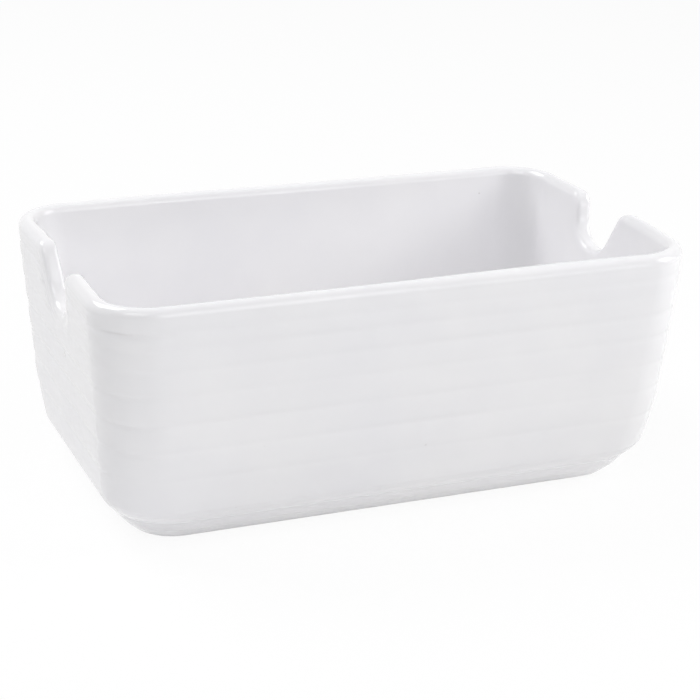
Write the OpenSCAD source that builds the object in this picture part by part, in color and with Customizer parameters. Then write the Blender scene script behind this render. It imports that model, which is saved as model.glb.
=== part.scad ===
// Sugar packet holder: a low porcelain box with ribbed walls, a rolled rim, a finger notch in
// each short end and a small foot. Millimetres, +Z up, +X along the length. The origin is at the
// middle of the footprint, on the surface that the holder stands on.

/* [Holder] */
// Length over the rim
body_length = 122; // [90:1:180]
// Width over the rim
body_width = 73; // [60:1:110]
// Height from the table to the top of the rim
body_height = 50; // [42:0.5:75]
// Corner radius of the rim, seen from above
corner_radius = 12.5; // [11.5:0.5:18]

/* [Walls] */
// Thickness of the walls, and of the rolled rim
wall = 3.5; // [2.8:0.1:4.5]
// How far the walls lean in between the rim and the heel
wall_lean = 3.8; // [1:0.1:4.5]
// Thickness of the base
base = 4; // [2.5:0.1:6]
// Radius between the walls and the floor inside
floor_round = 4; // [2:0.5:5]

/* [Ribs and heel] */
// Depth of the grooves between the ribs
groove_depth = 0.25; // [0.1:0.05:0.6]
// Height of the heel, the edge where the walls turn under
heel_height = 6.2; // [5:0.1:9]
// Height at which the walls start to tuck in towards the heel
belly_height = 15; // [11:0.5:20]
// How far the walls tuck in at the heel
heel_tuck = 1.4; // [0.5:0.1:2.5]

/* [Foot] */
// Height of the foot ring, up to the base that it carries
foot_height = 2.8; // [1.5:0.1:3.5]
// How far the foot ring stands in from the rim
foot_inset = 11.4; // [10:0.1:14]
// How much wider the foot ring grows on its way up to the base
foot_flare = 2; // [0.5:0.1:2.5]
// Width of the foot ring at the table, with its rounded edges
foot_width = 3.6; // [2.5:0.1:5]
// Corner radius of the foot ring at the table, seen from below
foot_radius = 7; // [5.5:0.5:12]
// Bevel that stands for the worn edges of the foot ring
foot_bevel = 0.4; // [0.2:0.1:0.6]

/* [Finger notches] */
// Clear width of a notch between its rolled edges
notch_width = 17.6; // [13:0.2:26]
// Radius of the corners at a notch's bottom
notch_corner = 5.4; // [3:0.2:6]
// Straight stretch of a notch's sides, above those corners
notch_side = 0.5; // [0.5:0.5:5]
// Radius at which the rim turns down into a notch
shoulder_radius = 2.4; // [2.2:0.2:6]

/* [Glaze] */
// Thickness of the glaze coat
glaze = 0.3; // [0.2:0.05:0.4]
// Height above the table up to which the foot ring is wiped clean of glaze
glaze_line = 0.8; // [0.7:0.1:1.2]

/* [Hidden] */
$fn = 96;
// Heights of the grooves, as shares of the height from the heel to the rim
groove_shares = [0.08, 0.285, 0.42, 0.57, 0.685, 0.8, 0.88];
// Straight steps that stand for the curves of a rib, the rim, the floor's round and a notch
rib_steps = 6;
rim_steps = 12;
floor_steps = 6;
notch_steps = 8;
// How far a notch's rolled edge stands proud of the wall
roll_proud = 0.15;
// Overrun of the notch cuts past the faces that they open
overrun = 2;

rim_radius = wall / 2;
rim_z = body_height - rim_radius;
lean_angle = atan(wall_lean / (rim_z - heel_height));
floor_z = foot_height + base;
roll_radius = rim_radius + roll_proud;
notch_half = notch_width / 2 + roll_radius;
notch_turn = notch_corner + roll_radius;
notch_flat = notch_half - notch_turn;
shoulder_z = rim_z - shoulder_radius;
notch_z = shoulder_z - notch_side;
notch_reach = notch_half + shoulder_radius;
core_length = body_length - 2 * corner_radius;
core_width = body_width - 2 * corner_radius;
rib_edges = concat(0, groove_shares, 1);

// Sections of the walls are drawn outwards from the corners' centre line and upwards from the
// table. skin is how far a surface lies under the glazed one.

// Middle of the wall's thickness at height z
function wall_middle(z) = corner_radius - rim_radius - (rim_z - z) * tan(lean_angle);

// How far the wall is tucked in at height z, below the belly
function tuck(z) = heel_tuck * pow(max(belly_height - z, 0) / (belly_height - heel_height), 2);

// Rib k swells from the groove below it to the groove above it. The lowest rib starts at the
// heel, and the highest runs out into the rim.
function rib(k, skin) =
    let (last = k == len(rib_edges) - 2)
    [
        for (i = [0 : rib_steps - 1])
            let (
                t = i / rib_steps,
                share = rib_edges[k] + t * (rib_edges[k + 1] - rib_edges[k]),
                z = heel_height + share * (rim_z - heel_height),
                hollow = groove_depth * pow(last ? 1 - t : 1 - 2 * t, 2)
            )
            [wall_middle(z) + (rim_radius - skin) / cos(lean_angle) - tuck(z) - hollow, z]
    ];

// Half round of the rim, from the outer face over to the inner one
function rim_roll(skin) = [
    for (i = [0 : rim_steps])
        let (a = 180 * i / rim_steps - lean_angle)
        [wall_middle(rim_z) + (rim_radius - skin) * cos(a), rim_z + (rim_radius - skin) * sin(a)]
];

// Quarter round from the inner face down to the floor
function floor_roll(skin) =
    let (
        z = floor_z + floor_round,
        u = wall_middle(z) - (rim_radius + floor_round) / cos(lean_angle)
    )
    [
        for (i = [0 : floor_steps])
            let (a = -lean_angle - (90 - lean_angle) * i / floor_steps)
            [u + (floor_round + skin) * cos(a), z + (floor_round + skin) * sin(a)]
    ];

// Whole section of a wall, with the edge of the base
function wall_section(skin) = concat(
    [
        [0, floor_z - skin],
        [0, foot_height + skin],
        [corner_radius - foot_inset + foot_flare - skin, foot_height + skin]
    ],
    [for (k = [0 : len(rib_edges) - 2]) each rib(k, skin)],
    rim_roll(skin),
    floor_roll(skin)
);

// Section of the foot ring, outwards from its own corners' centre line
function foot_section(skin, bottom, bevel) =
    let (
        top = foot_height + base / 2,
        slope = foot_flare / foot_height,
        outer = foot_radius - skin,
        inner = foot_radius - foot_width + skin
    )
    [
        [inner + bevel, bottom],
        [outer + slope * bottom - bevel, bottom],
        [outer + slope * (bottom + bevel), bottom + bevel],
        [outer + foot_flare, foot_height],
        [outer + foot_flare, top],
        [inner, top],
        [inner, bottom + bevel]
    ];

// Carries a section round a rectangle, with a quarter turn at each corner
module around(length, width) {
    for (turn = [0, 180])
        rotate([0, 0, turn]) {
            translate([length / 2, width / 2, 0])
                rotate([90, 0, 0])
                    linear_extrude(height = width)
                        children();
            translate([length / 2, width / 2, 0])
                rotate_extrude(angle = 90)
                    children();
            translate([-length / 2, width / 2, 0])
                rotate([90, 0, 90])
                    linear_extrude(height = length)
                        children();
            translate([-length / 2, width / 2, 0])
                rotate([0, 0, 90])
                    rotate_extrude(angle = 90)
                        children();
        }
}

// Walls and base
module box(skin) {
    around(core_length, core_width)
        polygon(wall_section(skin));
    translate([-core_length / 2, -core_width / 2, foot_height + skin])
        cube([core_length, core_width, base - 2 * skin]);
}

module foot_ring(skin, bottom, bevel) {
    inset = foot_inset + foot_radius;
    around(body_length - 2 * inset, body_width - 2 * inset)
        polygon(foot_section(skin, bottom, bevel));
}

// Puts what is drawn with x across the end wall and y up it into the middle of the wall's
// thickness, at both ends of the holder
module in_end_walls() {
    for (turn = [0, 180])
        rotate([0, 0, turn])
            translate([body_length / 2 - rim_radius, 0, rim_z])
                rotate([0, lean_angle, 0])
                    translate([0, 0, -rim_z])
                        rotate([90, 0, 90])
                            children();
}

// Line that the middle of a notch's rolled edge follows, from the rim down to the bottom
function notch_line() = concat(
    [
        for (i = [0 : notch_steps])
            let (a = 90 + 90 * i / notch_steps)
            [notch_reach + shoulder_radius * cos(a), shoulder_z + shoulder_radius * sin(a)]
    ],
    [
        for (i = [0 : notch_steps])
            let (a = -90 * i / notch_steps)
            [notch_flat + notch_turn * cos(a), notch_z + notch_turn * sin(a)]
    ]
);

module notch_cut() {
    right = concat([[notch_reach, body_height + overrun]], notch_line());
    left = [for (i = [len(right) - 1 : -1 : 0]) [-right[i].x, right[i].y]];
    translate([0, 0, -wall - overrun])
        linear_extrude(height = 2 * (wall + overrun))
            polygon(concat(right, left));
}

// Quarter turn of a rolled edge of radius r, bent at the radius turn
module quarter_roll(turn, r) {
    rotate_extrude(angle = 90)
        translate([turn, 0])
            circle(r = r);
}

// Rolled edge round a notch, which sinks into the rim at both ends
module notch_roll(skin) {
    r = roll_radius - skin;
    for (side = [0, 1])
        mirror([side, 0, 0]) {
            translate([notch_reach, rim_z, 0])
                rotate([0, 90, 0])
                    cylinder(h = rim_radius, r1 = r, r2 = r - 2 * roll_proud);
            translate([notch_reach, shoulder_z, 0])
                rotate([0, 0, 90])
                    quarter_roll(shoulder_radius, r);
            translate([notch_half, notch_z, 0])
                rotate([-90, 0, 0])
                    cylinder(h = notch_side, r = r);
            translate([notch_flat, notch_z, 0])
                rotate([0, 0, -90])
                    quarter_roll(notch_turn, r);
        }
    translate([-notch_flat, notch_z - notch_turn, 0])
        rotate([0, 90, 0])
            cylinder(h = 2 * notch_flat, r = r);
}

// The whole holder, with its surfaces skin under the glazed ones
module holder(skin, bottom, bevel) {
    difference() {
        union() {
            box(skin);
            foot_ring(skin, bottom, bevel);
        }
        in_end_walls()
            notch_cut();
    }
    in_end_walls()
        notch_roll(skin);
}

porcelain_colour = [0.88, 0.85, 0.8];
glaze_colour = [0.94, 0.94, 0.95];

// The fired porcelain under the glaze, bare where it stands on the table
module porcelain_body() {
    color(porcelain_colour)
        holder(glaze, 0, foot_bevel);
}

// The glaze, all over but for the bottom of the foot ring
module glaze_coat() {
    color(glaze_colour)
        difference() {
            holder(0, glaze_line, 0);
            holder(glaze, 0, foot_bevel);
        }
}

porcelain_body();
glaze_coat();
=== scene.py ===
"""Looks of a glazed porcelain sugar packet holder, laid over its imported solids. Lengths are in
millimetres until a mesh is made. The inset of a surface is how far it lies in from the rim."""

import math

import bpy
import numpy as np
from mathutils import Matrix, Vector


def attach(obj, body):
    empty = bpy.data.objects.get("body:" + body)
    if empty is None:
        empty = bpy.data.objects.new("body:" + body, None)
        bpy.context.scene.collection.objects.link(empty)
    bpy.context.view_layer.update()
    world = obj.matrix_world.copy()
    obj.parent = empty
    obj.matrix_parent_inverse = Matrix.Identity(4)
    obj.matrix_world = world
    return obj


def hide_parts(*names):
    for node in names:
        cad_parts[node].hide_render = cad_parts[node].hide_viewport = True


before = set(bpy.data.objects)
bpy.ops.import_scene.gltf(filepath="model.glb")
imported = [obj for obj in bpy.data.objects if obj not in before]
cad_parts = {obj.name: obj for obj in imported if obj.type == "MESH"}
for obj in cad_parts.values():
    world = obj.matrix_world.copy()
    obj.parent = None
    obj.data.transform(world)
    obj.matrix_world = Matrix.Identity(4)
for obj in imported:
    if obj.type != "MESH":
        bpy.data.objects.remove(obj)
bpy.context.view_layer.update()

MM = 0.001

# Holder, walls and floor
HALF_LENGTH = 61.0
HALF_WIDTH = 36.5
HEIGHT = 50.0
RIM_CORNER = 11.5
CORNER_TAPER = 0.25
HALF_WALL = 1.75
WALL_LEAN = 3.8
FLOOR_Z = 6.8
FLOOR_ROUND = 4.0
GLAZE = 0.3

# Outside of the wall: inset and corner radius of the rib crests by height
CREST_Z = (0.0, 8.4, 9.5, 12.0, 15.0, 18.0, 24.0, 30.0, 36.0, 42.0, 46.0, 48.25, 60.0)
CREST_INSETS = (6.0, 3.6, 3.38, 3.0, 2.55, 2.2, 1.8, 1.3, 0.8, 0.3, 0.0, -0.05, 0.0)
CREST_CORNERS = (12.0, 12.1, 12.0, 11.8, 11.5, 11.2, 11.0, 11.0, 11.2, 11.3, 11.4, 11.5, 11.5)
ROLL_DEPTH = 0.09
CREASE_DEPTH = 0.17
CREASE_WIDTH = 0.42
# Grooves from the second height on. The first starts the lowest rib, and the last lies above
# the rim, where the top rib would end; under the rim they fade out.
GROOVES_Z = (5.3, 15.45, 21.3, 26.9, 32.7, 37.6, 41.9, 45.3, 52.0)
GROOVE_FADE = 2.0
HEEL_Z = 6.2

# Wear of the grooves. A wave is its share, its radians per half side along x and y and per
# millimetre of height, and its shift.
WEAR_WAVES = ((1.0, 2.3, 0.0, 0.33, 0.8), (0.6, 6.1, 0.0, -0.51, 0.0), (0.4, 0.0, 5.0, 0.7, 0.0))
WEAR_MIDDLE = 0.62
WEAR_SWING = 0.2
WEAR_DRIFT = 0.22
WEAR_RANGE = (0.1, 1.15)

# Heel, foot ring and recess: corners of their line as inset and height, with the radius at each
HEEL_TOP_Z = 8.4
HEEL = (4.2, 7.3)
CREASE = (8.0, 2.8)
FOOT_OUT = (10.75, 0.0)
FOOT_IN = (15.0, 0.0)
RECESS = (15.2, 2.8)
CEILING = (20.0, 2.8)
UNDERSIDE_RADII = (1.8, 4.0, 1.2, 0.5, 1.0)
PLAN_INSETS = (3.7, 6.1, 8.0, 10.75, 15.0, 20.0)
PLAN_CORNERS = (12.1, 11.0, 9.0, 7.9, 5.5, 3.0)
# A faint crease in the heel: its height, depth and reach
HEEL_CREASE = (5.3, 0.13, 0.5)
GLAZE_LINE = 0.4
GLAZE_EDGE = 0.35
FOOT_MIDDLE = 13.0

# Finger notch: corners of its line as y and height, with the radius at each
NOTCH = ((-8.2, 50.0), (-2.4, 39.75), (8.3, 39.75), (9.4, 50.0))
NOTCH_RADII = (3.4, 6.8, 6.1, 3.5)
SHOULDER_REACH = 4.2
PLAIN_ROUNDNESS = 1.0
NOTCH_ROUNDNESS = 0.6

# Net of the surface: an end wall's columns bend round its notch down to this height
TURN_Z = 30.0
TURN_SPREAD = 19.0
EDGE_BAND = 2.5
CORNER_COLUMNS = 18
SIDE_COLUMNS = 40
SHOULDER_COLUMNS = 12
NOTCH_STEP = 0.7
# How fast the notch's own roundness sets in along its edge, and the grooves below the edge
NOTCH_ONSET = 10.0
GROOVE_ONSET = 6.0

# Rows of the net where it shows and where it is covered: the well's rings, bend and climb, the
# rim's inside, bands, roll and outside, the outer wall, the recess and the step along the heel
SHOWN = {"well": (6, 8, 8), "rim": (14, 4, 20, 32), "wall": 48, "rings": 6, "step": 0.2}
COVERED = {"well": (2, 4, 3), "rim": (4, 2, 7, 5), "wall": 8, "rings": 3, "step": 0.8}

# Made by hand, from a height up: bell curves as middle, reach and most. The rim's rise beside a
# notch runs along y. The bow of a long wall and the front rim's push inwards run along x, and
# the push grows by a further amount towards the inside.
LOOSE_Z = 30.0
LOOSE_REACH = 16.0
RISES = ((-14.0, 9.0, 0.5), (14.0, 6.0, 0.15))
BOW = (-30.0, 20.0, 0.5)
PUSH = (30.0, 26.0, 0.5)
PUSH_INSIDE = 1.45
# Where an end wall and a long wall begin, and how far it takes
END_WALL = (52.0, 6.0)
LONG_WALL = (28.0, 5.0)

RIM_Z = HEIGHT - HALF_WALL
STRAIGHT = HALF_WIDTH - RIM_CORNER
LEAN_ANGLE = math.atan(WALL_LEAN / (RIM_Z - HEEL_Z))


def smooth_step(x):
    """3x^2 - 2x^3, held between 0 and 1."""
    x = np.clip(x, 0.0, 1.0)
    return x * x * (3.0 - 2.0 * x)


def bump(x, middle, reach):
    """exp(-((x - middle) / reach)^2)."""
    return np.exp(-((x - middle) / reach) ** 2)


def lean(z):
    """The inset grows evenly downwards from the rim."""
    return WALL_LEAN * np.clip(RIM_Z - z, 0.0, None) / (RIM_Z - HEEL_Z)


def through(at, places, values):
    """A smooth line through points, with the weights of a cubic Hermite curve: a point's slope
    is the slope between its neighbours."""
    places, values = np.asarray(places), np.asarray(values)
    slopes = np.gradient(values, places)
    k = np.clip(np.searchsorted(places, at) - 1, 0, len(places) - 2)
    span = places[k + 1] - places[k]
    t = np.clip((at - places[k]) / span, 0.0, 1.0)
    ends = values[k] * (1.0 + 2.0 * t) * (1.0 - t) ** 2 + values[k + 1] * t * t * (3.0 - 2.0 * t)
    return ends + span * t * (1.0 - t) * (slopes[k] * (1.0 - t) - slopes[k + 1] * t)


def groove(z, worn):
    """A rib's hollow to each side of a groove: depth (1 - c)^2 with c the nearness to the middle
    of the rib, and a narrow crease depth / (1 + (d / width)^2) with d the way from the groove.
    Both are worn alike."""
    along = np.interp(z, GROOVES_Z, np.arange(len(GROOVES_Z)))
    middle = 1.0 - np.abs(1.0 - 2.0 * (along % 1.0))
    places = np.asarray(GROOVES_Z)
    nearest = np.clip(np.rint(along).astype(int), 0, len(places) - 1)
    away = z - places[nearest]
    left = np.minimum(nearest, 1) * worn
    soft = ROLL_DEPTH * (1.0 - middle) ** 2 * left
    crease = CREASE_DEPTH * left / (1.0 + (away / CREASE_WIDTH) ** 2)
    return (soft + crease) * smooth_step((RIM_Z - z) / GROOVE_FADE)


def wear(z):
    """How deep the grooves were left round the holder: a sum of sine waves along x and y that
    shift with the height, so that each groove fades at its own places, less a drift along x."""
    x, y = NET["tx"], NET["ty"]
    waves = sum(share * np.sin(along_x * x + along_y * y + rise * z + shift)
                for share, along_x, along_y, rise, shift in WEAR_WAVES)
    return np.clip(WEAR_MIDDLE + WEAR_SWING * waves - WEAR_DRIFT * x, *WEAR_RANGE)


def outside_inset(z):
    """The line of the crests, with the grooves in it as they are worn."""
    return through(z, CREST_Z, CREST_INSETS) + groove(z, wear(z))


def rounded_line(corners, radii, step):
    """Straight lines joined by arcs that touch both, sampled about every step: an arc's centre
    lies at a right angle to the line, one radius off the point where the arc starts."""
    corners = np.asarray(corners, float)
    parts = [corners[:1]]
    for before, at, after, radius in zip(corners, corners[1:], corners[2:], radii):
        come = (at - before) / np.linalg.norm(at - before)
        go = (after - at) / np.linalg.norm(after - at)
        turn = math.acos(float(np.clip(come @ go, -1.0, 1.0)))
        side = math.copysign(radius, come[0] * go[1] - come[1] * go[0])
        spoke = side * np.array([come[1], -come[0]])
        start = at - come * radius * math.tan(turn / 2.0)
        count = max(3, round(radius * turn / step))
        angle = np.linspace(0.0, math.copysign(turn, side), count + 1)
        cos, sin = np.cos(angle), np.sin(angle)
        swung = np.stack([spoke[0] * cos - spoke[1] * sin, spoke[0] * sin + spoke[1] * cos], 1)
        arc = start - spoke + swung
        parts += [between(parts[-1][-1], arc[0], step), arc]
    parts += [between(parts[-1][-1], corners[-1], step), corners[-1:]]
    return np.concatenate(parts)


def between(start, end, step):
    """Evenly spaced points on a straight line, both of its ends left out."""
    count = int(np.linalg.norm(end - start) / step)
    return start + np.linspace(0.0, 1.0, count + 2)[1:-1, None] * (end - start)


def moved_in(corners, depths):
    """Each line moved to its left by its depth; a corner is where its two lines cross, and an
    end moves square to its line."""
    corners = np.asarray(corners, float)
    way = np.diff(corners, axis=0)
    way /= np.linalg.norm(way, axis=1)[:, None]
    left = np.stack([-way[:, 1], way[:, 0]], 1)
    level = (left * corners[:-1]).sum(1) + depths
    lines = np.stack([left[:-1], left[1:]], 1)
    levels = np.stack([level[:-1], level[1:]], 1)[..., None]
    inner = np.linalg.solve(lines, levels)[..., 0]
    ends = corners[[0, -1]] + left[[0, -1]] * depths[[0, -1], None]
    return np.concatenate([ends[:1], inner, ends[1:]])


def end_wall():
    """Columns across an end wall from y = -25 to 25. Each has the point of the rim or notch edge
    that it starts from, the way into the wall there, how far it belongs to the notch and the y
    that it has reached at the turn."""
    first, last = NOTCH[0][0] - SHOULDER_REACH, NOTCH[-1][0] + SHOULDER_REACH
    edge = rounded_line(((first, HEIGHT),) + NOTCH + ((last, HEIGHT),), NOTCH_RADII, NOTCH_STEP)
    length = np.append(0.0, np.cumsum(np.linalg.norm(np.diff(edge, axis=0), axis=1)))
    way = np.gradient(edge, length, axis=0)
    way /= np.linalg.norm(way, axis=1)[:, None]
    share = length / length[-1]
    before = np.linspace(-STRAIGHT, first, SHOULDER_COLUMNS + 1)[:-1]
    after = np.linspace(last, STRAIGHT, SHOULDER_COLUMNS + 1)[1:]
    turn_before = np.interp(before, (-STRAIGHT, first), (-STRAIGHT, -TURN_SPREAD))
    turn_after = np.interp(after, (last, STRAIGHT), (TURN_SPREAD, STRAIGHT))
    plain = np.zeros(len(before))
    notch = smooth_step(share * NOTCH_ONSET) * smooth_step((1.0 - share) * NOTCH_ONSET)
    return np.stack([
        np.concatenate([before, edge[:, 0], after]),
        np.concatenate([plain + HEIGHT, edge[:, 1], plain + HEIGHT]),
        np.concatenate([plain, way[:, 1], plain]),
        np.concatenate([plain - 1.0, -way[:, 0], plain - 1.0]),
        np.concatenate([plain, notch, plain]),
        np.concatenate([turn_before, TURN_SPREAD * (2.0 * share - 1.0), turn_after]),
    ])


def columns():
    """Once round the holder against the clock. A column has the way (nx, ny) that it faces, which
    is the cosine and sine of its turn at a corner; the centre (tx, ty) of its corner as a share
    of the straight length; whether it is on an end wall; and the edge that it starts from. The
    second half is the first, turned half round."""
    end = end_wall()
    across = end.shape[1]
    first = np.linspace(0.0, math.pi / 2.0, CORNER_COLUMNS + 1)[1:]
    along = np.linspace(1.0, -1.0, SIDE_COLUMNS + 2)[1:-1]
    last = first[:-1]
    tx = np.concatenate([np.ones(across + len(first)), along, -np.ones(len(last))])
    ty = np.concatenate([end[5] / STRAIGHT, np.ones(len(tx) - across)])
    nx = np.concatenate([np.ones(across), np.cos(first), np.zeros(len(along)), -np.sin(last)])
    ny = np.concatenate([np.zeros(across), np.sin(first), np.ones(len(along)), np.cos(last)])
    rim = np.zeros((len(end), len(tx) - across))
    rim[1], rim[3] = HEIGHT, -1.0
    edge = np.concatenate([end, rim], 1)
    is_end = np.arange(len(tx)) < across
    half_turn = np.array([-1.0, 1.0, -1.0, 1.0, 1.0, -1.0])[:, None]
    return {
        "tx": np.append(tx, -tx),
        "ty": np.append(ty, -ty),
        "nx": np.append(nx, -nx),
        "ny": np.append(ny, -ny),
        "is_end": np.append(is_end, is_end),
        "edge": np.concatenate([edge, edge * half_turn], 1),
    }


NET = columns()


def placed(inset, z, radius, ty=None, shrink=1.0):
    """A rounded rectangle for each row: x = (half length - inset - radius) tx + radius nx, and y
    in the same way with the half width."""
    ty = NET["ty"] if ty is None else ty
    x = ((HALF_LENGTH - inset - radius) * NET["tx"] + radius * NET["nx"]) * shrink
    y = ((HALF_WIDTH - inset - radius) * ty + radius * NET["ny"]) * shrink
    return np.stack(np.broadcast_arrays(x, y, z), -1)


def wall(z, across, share, ty=None):
    """The wall's middle leans; across is the way from the middle, inwards, and the corner's
    radius shrinks with it. The share says how far the outside's own line counts."""
    corner = RIM_CORNER - CORNER_TAPER * lean(z)
    inset = lean(z) + HALF_WALL + across + share * (outside_inset(z) - lean(z))
    radius = corner - HALF_WALL - across + share * (through(z, CREST_Z, CREST_CORNERS) - corner)
    return placed(inset, z, radius, ty)


def edge_rows(into, across, share, outer):
    """Rows round the rim and the notches. A point is the edge + into * the way into the wall;
    beyond that it goes evenly to the turn's point by its share."""
    y, z, way_y, way_z, notch, turn_y = NET["edge"]
    near_y = y + into * way_y
    near_z = z + into * way_z
    far_y = near_y + share * (turn_y - near_y)
    far_z = near_z + share * (TURN_Z - near_z)
    ty = np.where(NET["is_end"], far_y / STRAIGHT, NET["ty"])
    return wall(far_z, across, outer, ty)


def column(values):
    """Row values as an upright array."""
    return np.asarray(values, float)[:, None]


def over_the_rim(skin, rows):
    """From the turn on the inside over the edge to the turn on the outside. The edge is a
    superellipse: across = r sin^e, depth = r (1 - cos^e), with e smaller in the notch."""
    thick = HALF_WALL - skin
    inner, band, roll, outer = rows
    far = np.linspace(1.0, 0.0, inner + 1)[:-1]
    near = np.linspace(EDGE_BAND, HALF_WALL, band + 1)[:-1]
    angle = column(np.linspace(math.pi / 2.0, -math.pi / 2.0, roll))
    roundness = PLAIN_ROUNDNESS + (NOTCH_ROUNDNESS - PLAIN_ROUNDNESS) * NET["edge"][4]
    across = thick * np.sign(np.sin(angle)) * np.abs(np.sin(angle)) ** roundness
    depth = skin + thick * (1.0 - np.clip(np.cos(angle), 0.0, 1.0) ** roundness)
    back = np.linspace(HALF_WALL, EDGE_BAND, band + 1)[1:]
    down = np.linspace(0.0, 1.0, outer + 1)[1:]
    upper = smooth_step((back - HALF_WALL) / (EDGE_BAND - HALF_WALL) * 0.5)
    lower = 0.5 + 0.5 * smooth_step(down * GROOVE_ONSET)
    return np.concatenate([
        edge_rows(EDGE_BAND, thick, column(far), 0.0),
        edge_rows(column(near), thick, 0.0, 0.0),
        edge_rows(depth, across, 0.0, 0.0),
        edge_rows(column(back), -thick, 0.0, column(upper)),
        edge_rows(EDGE_BAND, -thick, column(down), column(lower)),
    ])


def well(skin, rows):
    """From the middle of the well's floor out, round the fillet and up the inside to the turn.
    The fillet is an arc that touches the floor and the leaning wall."""
    rings, bend, climb = rows
    radius = FLOOR_ROUND + skin
    angle = np.linspace(math.pi / 2.0, LEAN_ANGLE, bend + 1)
    z = FLOOR_Z - skin + radius * (1.0 - np.sin(angle))
    inward = 2.0 * HALF_WALL - skin + radius * (math.cos(LEAN_ANGLE) - np.cos(angle))
    inset = lean(z[-1]) + inward
    corner = RIM_CORNER - CORNER_TAPER * lean(z[-1]) - inward
    shrink = np.linspace(0.0, 1.0, rings + 1)[1:-1]
    up = np.linspace(z[-1], TURN_Z, climb + 1)[1:-1]
    return np.concatenate([
        placed(inset[0], z[0], corner[0], shrink=column(shrink)),
        placed(column(inset), column(z), column(corner)),
        wall(column(up), HALF_WALL - skin, 0.0),
    ])


def outside(skin, rows):
    """Down the outside from the turn to the top of the heel."""
    z = np.linspace(TURN_Z, HEEL_TOP_Z, rows + 1)[1:-1]
    return wall(column(z), skin - HALF_WALL, 1.0)


def under_line(skin, foot_skin, step):
    """Inset and height from the top of the heel to the recess, moved in by the skin, and by
    another depth under the foot. The heel's crease is a bell curve in the height."""
    top = through(HEEL_TOP_Z, CREST_Z, CREST_INSETS)
    corners = ((top, HEEL_TOP_Z), HEEL, CREASE, FOOT_OUT, FOOT_IN, RECESS, CEILING)
    depths = np.array([skin, skin, skin, foot_skin, skin, skin])
    line = rounded_line(moved_in(corners, depths), UNDERSIDE_RADII, step)
    middle, depth, reach = HEEL_CREASE
    sink = depth * bump(line[:, 1], middle, reach) * (line[:, 0] < FOOT_MIDDLE)
    return line + math.sqrt(0.5) * sink[:, None]


def under_rows(line):
    """The line of the underside carried round, with the corner's radius read off its inset."""
    inset, z = column(line[:, 0]), column(line[:, 1])
    return placed(inset, z, np.interp(inset, PLAN_INSETS, PLAN_CORNERS))


def ceiling(z, rings):
    """Rings that shrink evenly to the middle of the recess."""
    shrink = column(np.linspace(1.0, 0.0, rings + 1)[1:-1])
    return placed(CEILING[0], z, PLAN_CORNERS[-1], shrink=shrink)


def closed_rings(rows, first, last):
    """Points and faces of a closed surface: quads between neighbouring rows and a fan at both
    poles, wound so that a normal is the row's way on crossed with the way round."""
    count, around = rows.shape[:2]
    points = np.concatenate([rows.reshape(-1, 3), (first, last)])
    index = np.arange(count * around).reshape(count, around)
    after = np.roll(index, -1, axis=1)
    quads = np.stack([index[:-1], index[1:], after[1:], after[:-1]], -1).reshape(-1, 4)
    pole = np.full(around, count * around)
    fans = np.concatenate([
        np.stack([pole, index[0], after[0]], -1),
        np.stack([after[-1], index[-1], pole + 1], -1),
    ])
    return points, quads, fans


def new_piece(name, surfaces):
    """One smooth piece of several closed surfaces, one after another."""
    shifts = np.cumsum([0] + [len(points) for points, _, _ in surfaces])[:-1]
    points = np.concatenate([surface[0] for surface in surfaces]) * MM
    quads = np.concatenate([surface[1] + shift for surface, shift in zip(surfaces, shifts)])
    fans = np.concatenate([surface[2] + shift for surface, shift in zip(surfaces, shifts)])
    loops = np.concatenate([quads.ravel(), fans.ravel()])
    sizes = np.concatenate([np.full(len(quads), 4), np.full(len(fans), 3)])
    mesh = bpy.data.meshes.new(name)
    mesh.vertices.add(len(points))
    mesh.vertices.foreach_set("co", points.ravel())
    mesh.loops.add(len(loops))
    mesh.loops.foreach_set("vertex_index", loops)
    mesh.polygons.add(len(sizes))
    mesh.polygons.foreach_set("loop_start", np.cumsum(sizes) - sizes)
    mesh.update(calc_edges=True)
    mesh.shade_smooth()
    piece = bpy.data.objects.new(name, mesh)
    bpy.context.scene.collection.objects.link(piece)
    return piece


def handmade(rows):
    """The holder as it was made by hand. The rim rises a little beside each notch, each long
    wall bows outwards on one half, and the front rim is pushed inwards to the right, its inside
    more than its outside by a smooth step through the wall. Each is a sum of bell curves times
    smooth steps that keep it to its wall and fade it out downwards."""
    x, y, z = rows[..., 0], rows[..., 1], rows[..., 2]
    high = smooth_step((z - LOOSE_Z) / LOOSE_REACH)
    on_end = smooth_step((np.abs(x) - END_WALL[0]) / END_WALL[1])
    on_side = smooth_step((np.abs(y) - LONG_WALL[0]) / LONG_WALL[1])
    side_y = y * np.sign(x)
    rise = on_end * sum(most * bump(side_y, middle, reach) for middle, reach, most in RISES)
    middle, reach, most = BOW
    bow = most * np.sign(y) * on_side * bump(x * np.sign(y), middle, reach)
    middle, reach, most = PUSH
    inner = smooth_step((y + HALF_WIDTH) / (2.0 * HALF_WALL))
    push = (most + PUSH_INSIDE * inner) * on_side * bump(x, middle, reach) * (y < 0.0)
    return np.stack([x, y + high * (bow + push), z + high * rise], -1)


def thinned(line):
    """The top skin's line down to the glaze line. It sinks to the body at its end by a quarter
    circle: depth = glaze (1 - sqrt(1 - q^2)), with q the way through the last stretch."""
    way = np.gradient(line, axis=0)
    way /= np.linalg.norm(way, axis=1)[:, None]
    q = np.clip(1.0 - (line[:, 1] - GLAZE_LINE) / GLAZE_EDGE, 0.0, 1.0)
    sink = GLAZE * (1.0 - np.sqrt(1.0 - q ** 2))
    return line + sink[:, None] * np.stack([-way[:, 1], way[:, 0]], 1)


def glazed_parts(line):
    """The parts of the underside's line above the glaze line, outside and inside the foot."""
    glazed = line[:, 1] > GLAZE_LINE
    outer = line[:, 0] < FOOT_MIDDLE
    return line[glazed & outer], line[glazed & ~outer]


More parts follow.
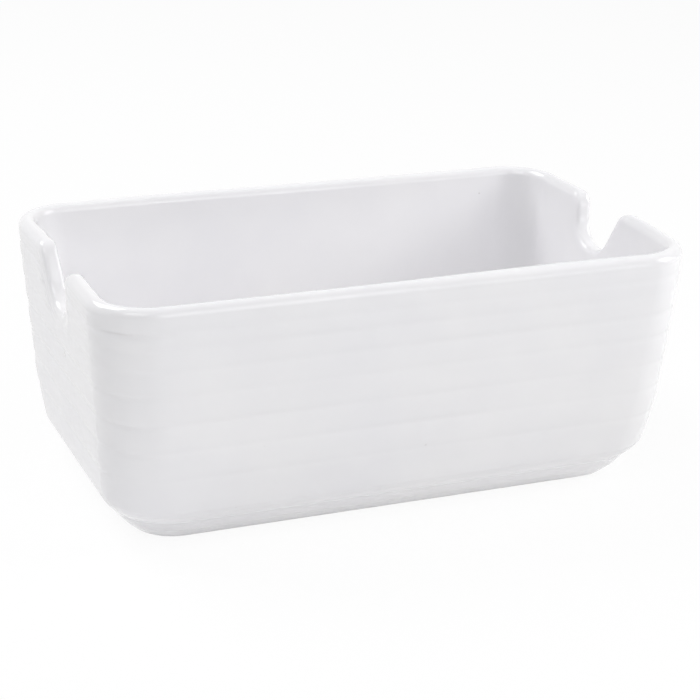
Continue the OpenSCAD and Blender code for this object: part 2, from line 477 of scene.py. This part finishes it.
def glaze_coat():
    """The coat as one closed surface for the walls and one for the recess, each a top skin and,
    one glaze deep, an under skin."""
    top_outer, top_inner = glazed_parts(under_line(0.0, 0.0, SHOWN["step"]))
    under_outer, under_inner = glazed_parts(under_line(GLAZE, GLAZE, COVERED["step"]))
    walls = handmade(np.concatenate([
        well(0.0, SHOWN["well"]),
        over_the_rim(0.0, SHOWN["rim"]),
        outside(0.0, SHOWN["wall"]),
        under_rows(thinned(top_outer)),
        under_rows(under_outer[::-1]),
        outside(GLAZE, COVERED["wall"])[::-1],
        over_the_rim(GLAZE, COVERED["rim"])[::-1],
        well(GLAZE, COVERED["well"])[::-1],
    ]))
    recess = np.concatenate([
        ceiling(CEILING[1] + GLAZE, COVERED["rings"])[::-1],
        under_rows(under_inner[::-1]),
        under_rows(thinned(top_inner)),
        ceiling(CEILING[1], SHOWN["rings"]),
    ])
    return new_piece("glaze", [
        closed_rings(walls, (0.0, 0.0, FLOOR_Z), (0.0, 0.0, FLOOR_Z - GLAZE)),
        closed_rings(recess, (0.0, 0.0, CEILING[1] + GLAZE), (0.0, 0.0, CEILING[1])),
    ])


def porcelain_body():
    """The body, one glaze deep under the coat, with its bare foot."""
    rows = handmade(np.concatenate([
        well(GLAZE, COVERED["well"]),
        over_the_rim(GLAZE, COVERED["rim"]),
        outside(GLAZE, COVERED["wall"]),
        under_rows(under_line(GLAZE, 0.0, SHOWN["step"])),
        ceiling(CEILING[1] + GLAZE, COVERED["rings"]),
    ]))
    return new_piece("porcelain", [
        closed_rings(rows, (0.0, 0.0, FLOOR_Z - GLAZE), (0.0, 0.0, CEILING[1] + GLAZE)),
    ])


# Materials: patterns read object coordinates, in metres

def colour(r, g, b):
    """A colour with its alpha."""
    return (r, g, b, 1.0)


WHITE = colour(1.0, 1.0, 1.0)

# Glaze: where it thins above the foot and how far the body shows there, its gloss, and what a
# speck and a duller patch add
THIN_Z = 1.1
THIN_SHARE = 0.5
GLAZE_ROUGHNESS = 0.055
PATCH_ROUGHNESS = 0.05
SPECK_ROUGHNESS = 0.3
SPECK_SHADE = 0.4
SPECK_DEPTH = 0.06
GLAZE_IOR = 1.5

# Bare foot: how high and how dark the scuffs are, its grain, and its specks
SCUFF_Z = 0.25
SCUFF_SHADE = 0.4
BARE_ROUGHNESS = 0.78
GRAIN_ROUGHNESS = 0.08
GRAIN_DEPTH = 0.02
CLAY_SPECK_SHADE = 0.7
CLAY_SPECK_DEPTH = 1.5


def add(tree, kind, feeds, **settings):
    """A node with its settings, and each input fed by a value or by another node's output."""
    node = tree.nodes.new("ShaderNode" + kind)
    for name, value in settings.items():
        setattr(node, name, value)
    for name, feed in feeds.items():
        if isinstance(feed, bpy.types.NodeSocket):
            tree.links.new(feed, node.inputs[name])
        else:
            node.inputs[name].default_value = feed
    return node


def maths(tree, operation, *feeds, clamp=False):
    """The result of one Math node."""
    node = add(tree, "Math", dict(enumerate(feeds)), operation=operation, use_clamp=clamp)
    return node.outputs[0]


def between_colours(tree, share, first, second):
    """The first colour at a share of 0 and the second at 1."""
    mix = add(tree, "Mix", {0: share, 6: first, 7: second}, data_type="RGBA", clamp_factor=True)
    return mix.outputs[2]


def ramp(tree, value, start, end, most):
    """0 where the value is at the start, rising evenly to the most at the end."""
    reach = {0: value, 1: start, 2: end, 3: 0.0, 4: most}
    return add(tree, "MapRange", reach, clamp=True).outputs[0]


def group(name, inputs, outputs):
    """An empty node group, and the sockets at both of its ends by name."""
    tree = bpy.data.node_groups.new(name, "ShaderNodeTree")
    for label, kind, value in inputs:
        socket = tree.interface.new_socket(label, in_out="INPUT", socket_type="NodeSocket" + kind)
        socket.default_value = value
    for label, kind in outputs:
        tree.interface.new_socket(label, in_out="OUTPUT", socket_type="NodeSocket" + kind)
    return tree, tree.nodes.new("NodeGroupInput").outputs, tree.nodes.new("NodeGroupOutput").inputs


def mottle_group():
    """Clouds of two tones: soft noise of a size in millimetres, spread about its middle by the
    contrast, as a value and as a colour between the two."""
    tree, given, result = group("mottle", [
        ("Place", "Vector", (0.0, 0.0, 0.0)), ("Size", "Float", 20.0), ("Contrast", "Float", 2.0),
        ("Dark", "Color", colour(0.5, 0.5, 0.5)), ("Light", "Color", WHITE),
    ], [("Value", "Float"), ("Color", "Color")])
    scale = maths(tree, "DIVIDE", 1000.0, given["Size"])
    noise = add(tree, "TexNoise", {
        "Vector": given["Place"], "Scale": scale, "Detail": 2.0, "Roughness": 0.45})
    centred = maths(tree, "SUBTRACT", noise.outputs[0], 0.5)
    value = maths(tree, "MULTIPLY_ADD", centred, given["Contrast"], 0.5, clamp=True)
    tree.links.new(value, result["Value"])
    tree.links.new(between_colours(tree, value, given["Dark"], given["Light"]), result["Color"])
    return tree


def grain_group():
    """Small unevenness: a coarse noise of a size in millimetres and a third as much of one four
    times as fine, from -1 to 1 times the strength."""
    tree, given, result = group("grain", [
        ("Place", "Vector", (0.0, 0.0, 0.0)), ("Size", "Float", 1.0), ("Strength", "Float", 1.0),
    ], [("Value", "Float")])
    scale = maths(tree, "DIVIDE", 1000.0, given["Size"])
    fine_scale = maths(tree, "MULTIPLY", scale, 4.0)
    coarse = add(tree, "TexNoise", {"Vector": given["Place"], "Scale": scale, "Detail": 1.0})
    fine = add(tree, "TexNoise", {"Vector": given["Place"], "Scale": fine_scale, "Detail": 1.0})
    both = maths(tree, "MULTIPLY_ADD", fine.outputs[0], 0.33, coarse.outputs[0])
    centred = maths(tree, "SUBTRACT", both, 0.665)
    doubled = maths(tree, "MULTIPLY", centred, 2.0)
    tree.links.new(maths(tree, "MULTIPLY", doubled, given["Strength"]), result["Value"])
    return tree


def pinholes_group():
    """Sparse round specks: 1 at a cell's point and 0 a radius away from it, in the share of the
    cells whose random number is low. Spacing and radius are in millimetres."""
    tree, given, result = group("pinholes", [
        ("Place", "Vector", (0.0, 0.0, 0.0)), ("Spacing", "Float", 5.0), ("Radius", "Float", 0.3),
        ("Share", "Float", 0.15),
    ], [("Mask", "Float")])
    scale = maths(tree, "DIVIDE", 1000.0, given["Spacing"])
    cells = add(tree, "TexVoronoi", {"Vector": given["Place"], "Scale": scale})
    reach = maths(tree, "DIVIDE", given["Radius"], given["Spacing"])
    near = maths(tree, "DIVIDE", cells.outputs["Distance"], reach)
    dot = maths(tree, "SUBTRACT", 1.0, near, clamp=True)
    pick = add(tree, "SeparateColor", {0: cells.outputs["Color"]})
    chosen = maths(tree, "LESS_THAN", pick.outputs[0], given["Share"])
    tree.links.new(maths(tree, "MULTIPLY", dot, chosen), result["Mask"])
    return tree


def pit_group():
    """One speck: 1 at its middle and 0 a radius away. Both are in metres."""
    tree, given, result = group("pit", [
        ("Place", "Vector", (0.0, 0.0, 0.0)), ("Middle", "Vector", (0.0, 0.0, 0.0)),
        ("Radius", "Float", 0.0005),
    ], [("Mask", "Float")])
    away = add(tree, "VectorMath", {0: given["Place"], 1: given["Middle"]}, operation="DISTANCE")
    near = maths(tree, "DIVIDE", away.outputs["Value"], given["Radius"])
    tree.links.new(maths(tree, "SUBTRACT", 1.0, near, clamp=True), result["Mask"])
    return tree


MOTTLE = mottle_group()
GRAIN = grain_group()
PINHOLES = pinholes_group()
PIT = pit_group()

# Specks in the glaze of the left wall and the front: middle and radius in millimetres
PITS = (((-59.6, -4.2, 31.5), 0.75), ((-23.0, -33.9, 12.0), 0.45), ((3.3, -34.3, 16.0), 0.45))


def placed_group(tree, built, place, **feeds):
    """A group in a material, reading the place and its own values."""
    node = tree.nodes.new("ShaderNodeGroup")
    node.node_tree = built
    tree.links.new(place, node.inputs["Place"])
    for name, value in feeds.items():
        node.inputs[name].default_value = value
    return node.outputs


def glaze_material():
    """Clear gloss on a cool white body. The tone drifts between warmer and cooler, the body
    shows through where the coat runs out above the foot, and the gloss has a slight orange
    peel, long ripples, a few pinholes and duller patches."""
    material = bpy.data.materials.new("white glaze")
    material.use_nodes = True
    tree = material.node_tree
    shader = tree.nodes["Principled BSDF"]
    place = add(tree, "TexCoord", {}).outputs["Object"]
    tone = placed_group(
        tree, MOTTLE, place, Size=38.0, Contrast=2.4,
        Dark=colour(0.900, 0.894, 0.912), Light=colour(0.927, 0.919, 0.924))["Color"]
    cloud = placed_group(
        tree, MOTTLE, place, Size=9.0, Contrast=1.6,
        Dark=colour(0.975, 0.975, 0.98), Light=WHITE)
    peel = placed_group(tree, GRAIN, place, Size=3.0, Strength=0.003)["Value"]
    ripple = placed_group(tree, GRAIN, place, Size=16.0, Strength=0.04)["Value"]
    dots = placed_group(tree, PINHOLES, place, Spacing=5.0, Radius=0.27, Share=0.07)["Mask"]
    for middle, radius in PITS:
        at = [MM * value for value in middle]
        pit = placed_group(tree, PIT, place, Middle=at, Radius=MM * radius)["Mask"]
        dots = maths(tree, "MAXIMUM", dots, pit)
    toned = add(
        tree, "Mix", {0: 1.0, 6: tone, 7: cloud["Color"]},
        data_type="RGBA", blend_type="MULTIPLY").outputs[2]
    height = add(tree, "SeparateXYZ", {0: place}).outputs["Z"]
    thin = ramp(tree, height, MM * THIN_Z, MM * GLAZE_LINE, THIN_SHARE)
    body = between_colours(tree, thin, toned, colour(0.80, 0.785, 0.755))
    speck = maths(tree, "MULTIPLY", dots, SPECK_SHADE)
    spotted = between_colours(tree, speck, body, colour(0.36, 0.33, 0.31))
    tree.links.new(spotted, shader.inputs["Base Color"])
    patch = maths(tree, "MULTIPLY_ADD", cloud["Value"], PATCH_ROUGHNESS, GLAZE_ROUGHNESS)
    dull = maths(tree, "MULTIPLY_ADD", dots, SPECK_ROUGHNESS, patch)
    tree.links.new(dull, shader.inputs["Roughness"])
    waves = maths(tree, "ADD", peel, ripple)
    relief = maths(tree, "MULTIPLY_ADD", dots, -SPECK_DEPTH, waves)
    bump_node = add(tree, "Bump", {"Strength": 1.0, "Distance": MM, "Height": relief})
    tree.links.new(bump_node.outputs[0], shader.inputs["Normal"])
    shader.inputs["IOR"].default_value = GLAZE_IOR
    return material


def bare_material():
    """Unglazed porcelain of the foot: a warm matt white with a fine grain, sparse dark specks
    and grey scuffs where it has stood."""
    material = bpy.data.materials.new("bare porcelain")
    material.use_nodes = True
    tree = material.node_tree
    shader = tree.nodes["Principled BSDF"]
    place = add(tree, "TexCoord", {}).outputs["Object"]
    clay = placed_group(
        tree, MOTTLE, place, Size=12.0, Contrast=2.2,
        Dark=colour(0.79, 0.765, 0.725), Light=colour(0.845, 0.825, 0.79))["Color"]
    scuffs = placed_group(tree, MOTTLE, place, Size=2.6, Contrast=7.0)["Value"]
    grain = placed_group(tree, GRAIN, place, Size=0.45, Strength=1.0)["Value"]
    specks = placed_group(tree, PINHOLES, place, Spacing=2.2, Radius=0.22, Share=0.3)["Mask"]
    height = add(tree, "SeparateXYZ", {0: place}).outputs["Z"]
    stood = ramp(tree, height, MM * SCUFF_Z, 0.0, SCUFF_SHADE)
    scuffed = maths(tree, "MULTIPLY", stood, scuffs)
    worn = between_colours(tree, scuffed, clay, colour(0.5, 0.49, 0.47))
    speck = maths(tree, "MULTIPLY", specks, CLAY_SPECK_SHADE)
    spotted = between_colours(tree, speck, worn, colour(0.3, 0.24, 0.19))
    tree.links.new(spotted, shader.inputs["Base Color"])
    matt = maths(tree, "MULTIPLY_ADD", grain, GRAIN_ROUGHNESS, BARE_ROUGHNESS)
    tree.links.new(matt, shader.inputs["Roughness"])
    relief = maths(tree, "MULTIPLY_ADD", specks, -CLAY_SPECK_DEPTH, grain)
    bump_node = add(tree, "Bump", {"Strength": 1.0, "Distance": MM * GRAIN_DEPTH, "Height": relief})
    tree.links.new(bump_node.outputs[0], shader.inputs["Normal"])
    return material


glaze = glaze_coat()
glaze.data.materials.append(glaze_material())
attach(glaze, "root")
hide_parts("glaze_coat")

porcelain = porcelain_body()
porcelain.data.materials.append(bare_material())
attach(porcelain, "root")
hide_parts("porcelain_body")


# Floor, surroundings and lamps

FLOOR_SIZE = 6.0
# How far the camera, and a gloss, see the floor as plain white, and how much the world lights
FLOOR_WHITE = 0.93
LIT_WORLD = 0.22


def is_ray(tree, first, *others):
    """1 for a ray of one of these kinds, 0 for any other."""
    paths = add(tree, "LightPath", {}).outputs
    result = paths[first]
    for kind in others:
        result = maths(tree, "MAXIMUM", result, paths[kind])
    return result


def floor_material():
    """A pale floor that is lit plainly, and shows as white with a trace of the shadow."""
    material = bpy.data.materials.new("pale floor")
    material.use_nodes = True
    tree = material.node_tree
    tree.nodes.clear()
    diffuse = add(tree, "BsdfDiffuse", {"Color": colour(0.95, 0.95, 0.95)})
    glow = add(tree, "Emission", {"Color": WHITE})
    seen = is_ray(tree, "Is Camera Ray", "Is Glossy Ray")
    share = maths(tree, "MULTIPLY", seen, FLOOR_WHITE)
    mix = add(tree, "MixShader", {0: share, 1: diffuse.outputs[0], 2: glow.outputs[0]})
    add(tree, "OutputMaterial", {"Surface": mix.outputs[0]})
    return material


floor_mesh = bpy.data.meshes.new("floor")
floor_mesh.from_pydata([
    (-FLOOR_SIZE, -FLOOR_SIZE, 0.0), (FLOOR_SIZE, -FLOOR_SIZE, 0.0),
    (FLOOR_SIZE, FLOOR_SIZE, 0.0), (-FLOOR_SIZE, FLOOR_SIZE, 0.0),
], [], [(0, 1, 2, 3)])
floor = bpy.data.objects.new("floor", floor_mesh)
bpy.context.scene.collection.objects.link(floor)
floor.data.materials.append(floor_material())

world = bpy.data.worlds.new("surroundings")
bpy.context.scene.world = world
world.use_nodes = True
tree = world.node_tree
tree.nodes.clear()
shown = add(tree, "Background", {"Color": WHITE, "Strength": 1.0})
lit = add(tree, "Background", {"Color": colour(0.97, 0.98, 1.0), "Strength": LIT_WORLD})
seen = is_ray(tree, "Is Camera Ray", "Is Glossy Ray", "Is Transmission Ray")
mix = add(tree, "MixShader", {0: seen, 1: lit.outputs[0], 2: shown.outputs[0]})
add(tree, "OutputWorld", {"Surface": mix.outputs[0]})

# The camera and the lamps face the holder's middle
MIDDLE = Vector((0.0, 0.0, 0.025))

# Lamps: name, degrees to the right of the front and up, distance, width, height and power
LAMPS = (
    ("front strip", 22.0, 15.0, 0.7, 0.38, 0.12, 0.41),
    ("front softbox", 12.0, 30.0, 0.7, 0.3, 0.3, 0.5),
    ("left softbox", -45.0, 50.0, 0.7, 0.35, 0.35, 1.05),
    ("right softbox", 75.0, 30.0, 0.6, 0.3, 0.3, 1.5),
    ("back softbox", -140.0, 50.0, 0.7, 0.4, 0.4, 2.7),
)

# Camera, as worked out from the photograph's outline: degrees as above, its turn round its own
# axis, its distance in metres, and its lens, sensor and shift
AZIMUTH = -22.47
ELEVATION = 20.14
ROLL = math.radians(1.42)
DISTANCE = 0.4044
LENS = 101.2
SENSOR = 36.0
SHIFT = (0.00757, -0.00657)


def bearing(azimuth, elevation):
    """The way out from the holder, from degrees to the right of the front and up."""
    a, e = math.radians(azimuth), math.radians(elevation)
    return Vector((math.sin(a) * math.cos(e), -math.cos(a) * math.cos(e), math.sin(e)))


def softbox(name, azimuth, elevation, distance, width, height, power):
    """A rectangular lamp that faces the holder's middle."""
    lamp = bpy.data.lights.new(name, "AREA")
    lamp.shape = "RECTANGLE"
    lamp.size, lamp.size_y, lamp.energy = width, height, power
    body = bpy.data.objects.new(name, lamp)
    way = bearing(azimuth, elevation)
    body.location = way * distance + MIDDLE
    body.rotation_euler = way.to_track_quat("Z", "Y").to_euler()
    bpy.context.scene.collection.objects.link(body)


for settings in LAMPS:
    softbox(*settings)

back = bearing(AZIMUTH, ELEVATION)
right = Vector((math.cos(math.radians(AZIMUTH)), math.sin(math.radians(AZIMUTH)), 0.0))
up = back.cross(right)
turned = Matrix((
    right * math.cos(ROLL) + up * math.sin(ROLL),
    up * math.cos(ROLL) - right * math.sin(ROLL),
    back,
)).transposed()
camera_data = bpy.data.cameras.new("camera")
camera_data.sensor_width = SENSOR
camera_data.lens = LENS
camera_data.shift_x, camera_data.shift_y = SHIFT
camera = bpy.data.objects.new("camera", camera_data)
camera.matrix_world = Matrix.Translation(back * DISTANCE + MIDDLE) @ turned.to_4x4()
bpy.context.scene.collection.objects.link(camera)
bpy.context.scene.camera = camera
bpy.context.scene.view_settings.view_transform = "Standard"
